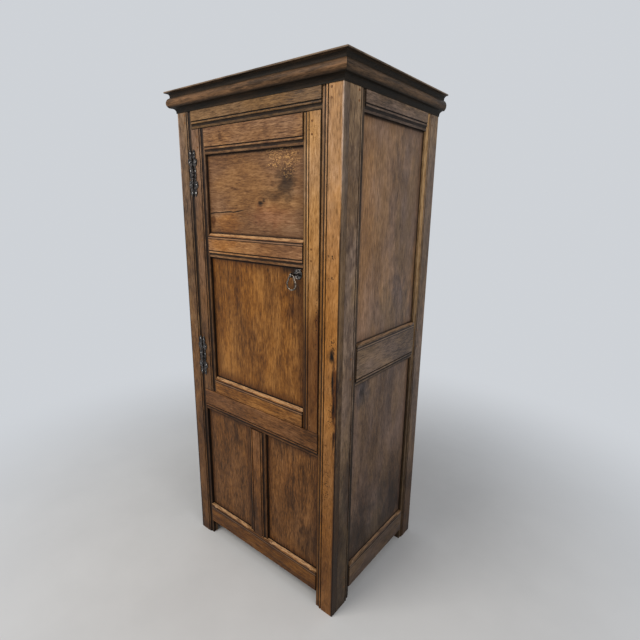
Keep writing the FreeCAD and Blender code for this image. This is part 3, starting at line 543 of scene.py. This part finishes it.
def stile_corner(s, place, colour, streaks):
    """Painted shade, duller round the corner on the side, and an arris dark below and pale above
    with wear and a painted highlight.
    """
    out = s.math("ABSOLUTE", place[X])
    depth = s.minus(place[Y], FRONT)
    # A painted sheen towards the top
    colour = top_sheen(s, place, colour, streaks)
    high = s.plus(s.math("DIVIDE", place[Z], 1.25), s.noisy(0.0, (streaks, 0.9)))
    dark = s.times(s.smooth(high, 0.35, 0.75, 0.75, 0.0),
                   s.smooth(out, SIDE - 0.013, SIDE - 0.002))
    colour = s.tint(colour, CORNER_DARK, dark)
    # Painted shade on the turned face, further back from the corner and lower down
    shade = s.most(s.smooth(depth, 0.008, 0.015, 0.0, 0.35),
                   s.smooth(place[Z], 0.05, 0.60, 0.60, 0.0))
    turned = s.tint(s.tint(colour, TURNED_SHADE), SHADE, shade)
    front = s.smooth(out, SIDE - 0.0016, SIDE - 0.0003, 1.0, 0.0)
    colour = s.mix(front, turned, colour)
    arris = s.times(s.smooth(out, SIDE - 0.0058, SIDE - 0.0030),
                    s.smooth(depth, 0.0010, 0.0030, 1.0, 0.0))
    worn = s.plus(place[Z], s.noisy(0.0, (streaks, 0.25)))
    line = s.times(arris, s.smooth(worn, 1.32, 1.50, 0.85, 0.0))
    colour = s.mix(line, colour, BLACK)
    # The pale arris higher up: wear with a painted highlight
    lightened = s.times(arris, s.smooth(worn, 1.42, 1.62),
                     s.smooth(streaks, 0.34, 0.56, 0.20, 0.65))
    return s.mix(lightened, colour, ARRIS_WEAR_AND_HIGHLIGHT)


def sill(top, plane, way, axis, height=0.0066, tone=SILL_HIGHLIGHT):
    """The chamfer along a rail's upper edge with a painted highlight, and a pale bead of painted
    highlight between dark lines of grime and painted shade.
    """
    def paint(s, place, colour, streaks):
        behind = s.times(s.minus(place[axis], plane), way)
        # A painted highlight on the chamfer, where its upward face catches the light
        lightened = s.times(s.smooth(behind, 0.0003, 0.0010),
                         s.smooth(place[Z], top - height - 0.0005, top - height + 0.0005),
                         s.smooth(streaks, 0.36, 0.60, 0.20, 0.90))
        colour = s.mix(lightened, colour, tone)
        under = s.minus(top, place[Z])
        # A pale bead of painted highlight, between dark lines of grime and painted shade in the
        # grooves
        colour = s.mix(s.line(under, *SILL_BEAD, 0.45), colour, SILL_BEAD_HIGHLIGHT)
        dark = s.most(s.line(under, *SILL_GROOVE, 0.93), s.line(under, *SILL_STEP, 0.86))
        dark = s.times(dark, s.smooth(behind, 0.0014, 0.0026, 1.0, 0.0))
        return s.mix(dark, colour, BLACK)
    return paint


def seam(edge):
    """A dark line where the side's stile meets the front's."""
    def paint(s, place, colour, streaks):
        return s.mix(s.line(place[Y], edge, *SEAM_LINE, 0.75), colour, BLACK)
    return paint


def lit_edge(sign):
    """The back stile's inner moulding, painted light honey where it faces forward to the light,
    brighter higher up.
    """
    def paint(s, place, colour, streaks):
        below = s.math("MULTIPLY_ADD", place[X], -sign, SIDE)
        mask = s.times(s.smooth(below, 0.0014, 0.0020),
                       s.smooth(place[Y], 0.25, 0.27, 1.0, 0.0),
                       s.smooth(below, 0.0100, 0.0130, 1.0, 0.25),
                       s.smooth(place[Z], 0.60, 1.60, 0.12, 1.0))
        return s.mix(mask, colour, s.mix(s.smooth(streaks, 0.3, 0.7), LIT_EDGE_DARK, LIT_EDGE_LIGHT))
    return paint


def give(node, material):
    slots = nodes[node].data.materials
    if len(slots):
        slots[0] = material
    else:
        slots.append(material)


def board(node, *wood, **settings):
    give(node, oak("oak_" + node, *wood, **settings))


def shows(node):
    """The ranges on x, y and z that show of a panel between its frame's edges."""
    lo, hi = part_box(node)
    return [(lo[i] + PANEL_TONGUE, hi[i] - PANEL_TONGUE) for i in range(3)]


def dress_front():
    face = (FRONT, 1.0)
    ends = (-FRAME_EDGE, FRAME_EDGE)
    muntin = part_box("front_muntin")
    board("front_stile_left", shifted(UMBER, 1.13, 1.15, 1.24), Z, Y, 1, (-0.36, 0.06),
          skin=face, moulding=(-FRAME_EDGE,), low_dark=0.6, pits=0.8, extra=stile_corner,
          tints=[(-0.335, 0.350, 0.200, 0.950, (1.22, 1.03, 0.79))],
          spots=[(-0.335, 0.000, 0.100, 0.120, 0.9)])
    board("front_stile_right", shifted(HONEY, 1.05, 1.0, 0.97), Z, Y, 2, (0.31, 0.07),
          skin=face, moulding=(FRAME_EDGE,), low_dark=0.70, pits=0.95, figure=0.35,
          contrast=0.72, extra=stile_corner,
          knots=[(0.349, 0.984, 0.015, 0.034, 1.0), (0.354, 0.900, 0.006, 0.070, 1.0),
                 (0.360, 0.815, 0.007, 0.080, 1.0), (0.362, 0.700, 0.006, 0.060, 0.9)],
          tints=[(0.335, 1.600, 0.080, 0.300, (0.93, 1.02, 1.30)),
                 (0.335, 0.220, 0.080, 0.130, (1.08, 1.15, 1.28))],
          spots=[(0.350, 0.000, 0.120, 0.130, 0.75), (0.362, 0.840, 0.018, 0.240, 1.3),
                 (0.345, 0.400, 0.060, 0.080, 0.55)],
          specks=[(0.340, 1.290, 0.024, 0.020, 0.9), (0.345, 1.225, 0.022, 0.016, 0.9),
                  (0.350, 1.010, 0.018, 0.060, 0.95), (0.346, 0.800, 0.020, 0.120, 0.8),
                  (0.340, 0.520, 0.024, 0.160, 0.8), (0.300, 1.406, 0.010, 0.020, 0.8)])
    board("front_top_rail", UMBER, X, Y, 3, (1.80, 0.05), low_dark=0.0,
          skin=face, moulding=(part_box("front_top_rail")[0].z,), shoulders=ends)
    board("front_mid_rail", shifted(BROWN, 0.97, 0.97, 1.10), X, Y, 4, (0.62, 0.07),
          skin=face, moulding=(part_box("front_mid_rail")[0].z,), shoulders=ends)
    board("front_bottom_rail", RUSSET, X, Y, 5, (0.16, 0.05), low_dark=0.65,
          tints=[(0.095, 0.180, 0.100, 0.220, (1.22, 1.28, 1.28))],
          skin=face, shoulders=ends, extra=sill(FRONT_SILL_TOP, *face, Y))
    board("front_muntin", shifted(BROWN, 1.08, 1.08, 1.16), Z, Y, 6, (0.0, 0.08),
          low_dark=0.4, wall_dirt=0.45, skin=face, moulding=(muntin[0].x, muntin[1].x),
          shoulders=(FRONT_SILL_TOP, FRONT_LOW_TOP))
    x, _, z = shows("front_panel_left")
    board("front_panel_left", BROWN, Z, Y, 7, (-0.30, 0.05), skin=face, panel=(x, z),
          panel_dirt=0.75, low_dark=0.3, fine=1.2)
    x, _, z = shows("front_panel_right")
    board("front_panel_right", BROWN, Z, Y, 8, (0.24, 0.05), skin=face, panel=(x, z),
          panel_dirt=0.75, low_dark=0.3, fine=1.2,
          tints=[(0.165, 0.460, 0.080, 0.130, (1.30, 1.25, 1.15)),
                 (0.250, 0.240, 0.090, 0.110, (0.55, 0.56, 0.62))])


def dress_door():
    face = (FRONT, 1.0)
    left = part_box("door_stile_hinge")[0].x
    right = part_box("door_stile_latch")[1].x
    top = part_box("door_top_rail")[1].z
    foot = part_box("door_bottom_rail")[0].z
    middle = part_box("door_mid_rail")
    ends = (left + DOOR_STILE, right - DOOR_STILE)
    board("door_stile_hinge", shifted(UMBER, 1.10, 1.00, 0.99), Z, Y, 11, (-0.28, 0.05),
          pits=0.6, fillet_dirt=0.35, wall_dirt=0.5, extra=top_sheen,
          skin=face, moulding=(ends[0],), rims=(left,), shoulders=(foot, top))
    board("door_stile_latch", HONEY, Z, Y, 12, (0.30, 0.06), pits=0.6, extra=top_sheen,
          skin=face, moulding=(ends[1],), rims=(right,), shoulders=(foot, top),
          low_dark=0.5, contrast=0.85, fade=(1.00, 1.24, 0.90),
          spots=[(0.294, 0.930, 0.022, 0.300, 1.2)],
          specks=[(0.288, 1.050, 0.008, 0.300, 0.9)])
    board("door_top_rail", DOOR, X, Y, 13, (1.60, 0.06), rims=(top,), shoulders=ends,
          skin=face, moulding=(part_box("door_top_rail")[0].z,),
          spots=[(1.655, -0.141, 0.03, 0.014, 0.6)])
    board("door_mid_rail", shifted(DOOR, 1.20, 1.14, 1.06), X, Y, 14, (1.20, 0.10),
          skin=face, moulding=(middle[0].z,), shoulders=ends, contrast=0.85,
          tints=[(1.300, -0.150, 0.050, 0.110, (1.15, 1.05, 0.78))],
          extra=sill(middle[1].z, *face, Y))
    board("door_bottom_rail", shifted(RUSSET, 1.10, 1.15, 1.38), X, Y, 15, (0.80, 0.05),
          skin=face, rims=(foot,), shoulders=ends,
          extra=sill(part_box("door_bottom_rail")[1].z, *face, Y))
    x, _, z = shows("door_upper_panel")
    board("door_upper_panel", DOOR, X, Y, 16, (1.46, 0.035), skin=face, panel=(z, x),
          contrast=0.8, low_dark=0.0,
          spots=[(1.378, -0.211, 0.040, 0.022, 0.9)],
          tints=[(1.625, -0.060, 0.060, 0.240, (1.12, 1.18, 1.25)),
                 (1.495, 0.150, 0.080, 0.062, (0.42, 0.43, 0.46)),
                 (1.462, 0.100, 0.032, 0.080, (0.55, 0.56, 0.60)),
                 (1.500, 0.155, 0.042, 0.036, (0.55, 0.57, 0.62)),
                 (1.370, -0.130, 0.050, 0.110, (1.22, 1.05, 0.72)),
                 (1.400, 0.080, 0.060, 0.120, (1.05, 0.90, 0.85))],
          knots=[(1.438, 0.037, 0.012, 0.018, 0.9), (1.446, 0.052, 0.008, 0.012, 0.8)],
          cracks=[(1.399, -0.234, 1.416, -0.025, 0.0030),
                  (1.430, -0.150, 1.400, -0.140, 0.0025)],
          flecks=[(1.588, 0.130, 0.046, 0.080, 0.42), (1.552, 0.165, 0.046, 0.050, 0.40),
                  (1.560, 0.100, 0.020, 0.036, 0.70)])
    x, _, z = shows("door_lower_panel")
    board("door_lower_panel", RUSSET, Z, Y, 17, (0.02, 0.05), skin=face, panel=(x, z),
          panel_dirt=0.7, fine=1.1,
          # Grey tints round the pull: grime, with a painted shadow of the ring on the panel
          tints=[(0.193, 1.120, 0.060, 0.125, (0.56, 0.55, 0.68)),
                 (0.172, 1.238, 0.060, 0.038, (0.30, 0.34, 0.50)),
                 (0.188, 1.180, 0.034, 0.050, (0.55, 0.58, 0.70))],
          knots=[(0.067, 1.222, 0.008, 0.009, 0.6)])


def dress_side(side, sign, seed):
    face = (sign * SIDE, -sign)
    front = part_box(f"{side}_stile_front")[0].y
    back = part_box(f"{side}_stile_back")[1].y
    ends = (front + SIDE_STILE_FRONT, back - SIDE_STILE_BACK)
    # A smaller painted highlight on the side rails' chamfers
    lightened = (0.0052, SIDE_SILL_HIGHLIGHT)
    board(f"{side}_stile_front", shifted(SIDE_TONE, 1.20, 1.17, 1.11), Z, X, seed + 1,
          (-0.23, 0.05), skin=face, moulding=(ends[0],), fillet_dirt=0.82, low_dark=1.0,
          pits=0.7, contrast=0.85, extra=seam(front),
          # Darker at the foot: grime and painted shade
          tints=[(-0.235, 0.120, 0.200, 0.650, (0.56, 0.58, 0.52))],
          spots=[(-0.215, 0.850, 0.060, 0.320, 0.65), (-0.235, 1.440, 0.120, 0.250, 0.68)])
    board(f"{side}_stile_back", shifted(SIDE_TONE, 1.10, 1.07, 1.00), Z, X, seed + 2,
          (0.28, 0.05), skin=face, moulding=(ends[1],), low_dark=1.1, pits=0.5,
          extra=lit_edge(sign))
    board(f"{side}_top_rail", SIDE_RAIL, Y, X, seed + 3, (1.8, 0.05), shoulders=ends,
          shoulder_dark=0.5, skin=face, moulding=(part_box(f"{side}_top_rail")[0].z,),
          low_dark=0.0)
    board(f"{side}_mid_rail", SIDE_RAIL, Y, X, seed + 4, (0.93, 0.07), shoulders=ends,
          shoulder_dark=0.4, skin=face, moulding=(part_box(f"{side}_mid_rail")[0].z,),
          extra=sill(SIDE_MID_TOP, *face, X, *lightened))
    board(f"{side}_bottom_rail", SIDE_RAIL, Y, X, seed + 5, (0.1, 0.05), shoulders=ends,
          shoulder_dark=0.4, skin=face, low_dark=0.6,
          extra=sill(SIDE_SILL_TOP, *face, X, *lightened))
    _, y, z = shows(f"{side}_upper_panel")
    board(f"{side}_upper_panel", SIDE_PANEL, Z, X, seed + 6, (0.02, 0.05), skin=face,
          panel=(y, z), contrast=0.62, fine=1.4,
          tints=[(-0.130, 1.330, 0.090, 0.480, (1.18, 1.10, 0.96)),
                 (0.130, 1.400, 0.150, 0.520, (0.61, 0.66, 0.77)),
                 (0.080, 1.060, 0.230, 0.160, (0.70, 0.76, 0.88))])
    _, y, z = shows(f"{side}_lower_panel")
    board(f"{side}_lower_panel", SIDE_LOW, Z, X, seed + 7, (0.06, 0.06), skin=face,
          panel=(y, z), panel_dirt=0.6, contrast=0.8, fine=1.3, low_dark=0.85,
          tints=[(-0.112, 0.818, 0.070, 0.085, (0.50, 0.56, 0.70)),
                 (0.000, 0.130, 0.400, 0.380, (0.54, 0.61, 0.70))],
          knots=[(-0.116, 0.812, 0.020, 0.026, 0.55)])


def dress_cornice():
    front_tone = shifted(CORNICE, 1.60, 1.42, 1.30)
    side_tone = shifted(CORNICE, 1.02, 1.02, 1.06)
    for name, tone, along, face, plane, way in (
            ("cornice_front", front_tone, X, Y, FRONT - CORNICE_REACH, 1.0),
            ("cornice_left", side_tone, Y, X, -SIDE - CORNICE_REACH, 1.0),
            ("cornice_right", side_tone, Y, X, SIDE + CORNICE_REACH, -1.0)):
        give(name, cornice_oak("oak_" + name, tone, along, face, plane, way))


def dress_inside():
    for index in range(4):
        name = f"back_board_{index + 1}"
        lo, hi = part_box(name)
        board(name, INSIDE, Z, Y, 60 + index, (0.2 - 0.13 * index, 0.06), contrast=0.75,
              low_dark=0.35, rims=(lo.x, hi.x))
    for index, name in enumerate((
            "top_board", "bottom_board", "shelf_lower", "shelf_middle", "shelf_upper")):
        board(name, INSIDE, X, Z, 70 + index, (0.05, 0.06), contrast=0.75, low_dark=0.2)
    for index, name in enumerate(("back_top_rail", "back_bottom_rail", "door_stops")):
        board(name, INSIDE, X, Y, 80 + index, (0.6, 0.05), low_dark=0.2)
    board("shelf_bearers", INSIDE, Y, X, 85, (0.6, 0.05), low_dark=0.2)
    for name in ("pegs_carcass", "pegs_door"):
        board(name, BROWN, Y, Z, 90, (0.3, 0.05), contrast=0.6, low_dark=0.0)


def dress_iron():
    hinge = iron("iron_hinge", (0.011, 0.0095, 0.0095), (0.115, 0.098, 0.088), 0.24)
    nail = iron("iron_nail", (0.12, 0.11, 0.10), (0.62, 0.60, 0.57), 0.16)
    pull = iron("iron_pull", (0.016, 0.014, 0.013), (0.230, 0.205, 0.185), 0.16)
    ring = iron("iron_ring", (0.050, 0.041, 0.033), (0.330, 0.272, 0.212), 0.16, 0.0002)
    for name in nodes:
        if name.endswith(("_leaf", "_pin")) or name in ("latch_bar", "spindle_bush"):
            give(name, hinge)
    for name in ("hinge_nails_frame", "hinge_nails_door"):
        give(name, nail)
    for name in ("pull_rosette", "pull_spindle"):
        give(name, pull)
    give("pull_ring", ring)


def make_floor():
    """A pale floor that fades into the plain background all round."""
    half = FLOOR_HALF
    mesh = bpy.data.meshes.new("floor")
    mesh.from_pydata([(-half, -half, 0), (half, -half, 0), (half, half, 0), (-half, half, 0)],
                     [], [(0, 1, 2, 3)])
    floor = bpy.data.objects.new("floor", mesh)
    bpy.context.scene.collection.objects.link(floor)
    s = Shade("pale_floor")
    cloud = s.noise(s.point, 4.0, 0.6, scale=2.2)
    colour = s.ramp(cloud, [(0.35, (0.60, 0.605, 0.61)), (0.65, (0.64, 0.645, 0.65))])
    s.finish(colour, 0.8, None, Specular_IOR_Level=0.1)
    out = next(n for n in s.tree.nodes if n.type == "OUTPUT_MATERIAL")
    near = next(n for n in s.tree.nodes if n.type == "BSDF_PRINCIPLED")
    far = s.add("ShaderNodeEmission")
    far.inputs[0].default_value = BACKDROP
    away = s.add("ShaderNodeVectorMath", operation="LENGTH")
    s.plug(s.point, away.inputs[0])
    blend = s.add("ShaderNodeMixShader")
    s.plug(s.smooth(away.outputs["Value"], 0.6, 2.4), blend.inputs[0])
    s.plug(near.outputs[0], blend.inputs[1])
    s.plug(far.outputs[0], blend.inputs[2])
    s.plug(blend.outputs[0], out.inputs[0])
    mesh.materials.append(s.material)


def make_world():
    """Dim light from all round, behind a plain backdrop that the camera sees."""
    world = bpy.data.worlds.new("studio")
    bpy.context.scene.world = world
    world.use_nodes = True
    tree = world.node_tree
    tree.nodes.clear()
    out = tree.nodes.new("ShaderNodeOutputWorld")
    seen = tree.nodes.new("ShaderNodeBackground")
    seen.inputs[0].default_value = BACKDROP
    seen.inputs[1].default_value = 1.0
    lit = tree.nodes.new("ShaderNodeBackground")
    lit.inputs[0].default_value = SKY
    lit.inputs[1].default_value = 0.40
    path = tree.nodes.new("ShaderNodeLightPath")
    shown = path.outputs["Is Camera Ray"]
    for other in ("Is Glossy Ray", "Is Transmission Ray"):
        either = tree.nodes.new("ShaderNodeMath")
        either.operation = "MAXIMUM"
        tree.links.new(shown, either.inputs[0])
        tree.links.new(path.outputs[other], either.inputs[1])
        shown = either.outputs[0]
    mix = tree.nodes.new("ShaderNodeMixShader")
    tree.links.new(shown, mix.inputs[0])
    tree.links.new(lit.outputs[0], mix.inputs[1])
    tree.links.new(seen.outputs[0], mix.inputs[2])
    tree.links.new(mix.outputs[0], out.inputs[0])


def make_light(name, place, aim, size, power, colour):
    data = bpy.data.lights.new(name, "AREA")
    data.shape = "RECTANGLE"
    data.size, data.size_y = size
    data.energy = power
    data.color = colour
    light = bpy.data.objects.new(name, data)
    bpy.context.scene.collection.objects.link(light)
    light.location = place
    light.rotation_mode = "QUATERNION"
    light.rotation_quaternion = (Vector(aim) - Vector(place)).to_track_quat("-Z", "Y")


make_camera()
dress_front()
dress_door()
dress_side("right", 1.0, 20)
dress_side("left", -1.0, 40)
dress_cornice()
dress_inside()
dress_iron()
make_floor()
make_world()
make_light("key", (-0.7, -2.3, 2.9), (0.0, -0.2, 1.1), (1.8, 1.4), 62.0, (1.0, 0.95, 0.88))
make_light("fill", (2.8, -0.9, 2.4), (0.2, 0.0, 1.0), (2.2, 2.2), 34.0, (1.0, 0.97, 0.94))
bpy.context.scene.view_settings.view_transform = "Standard"
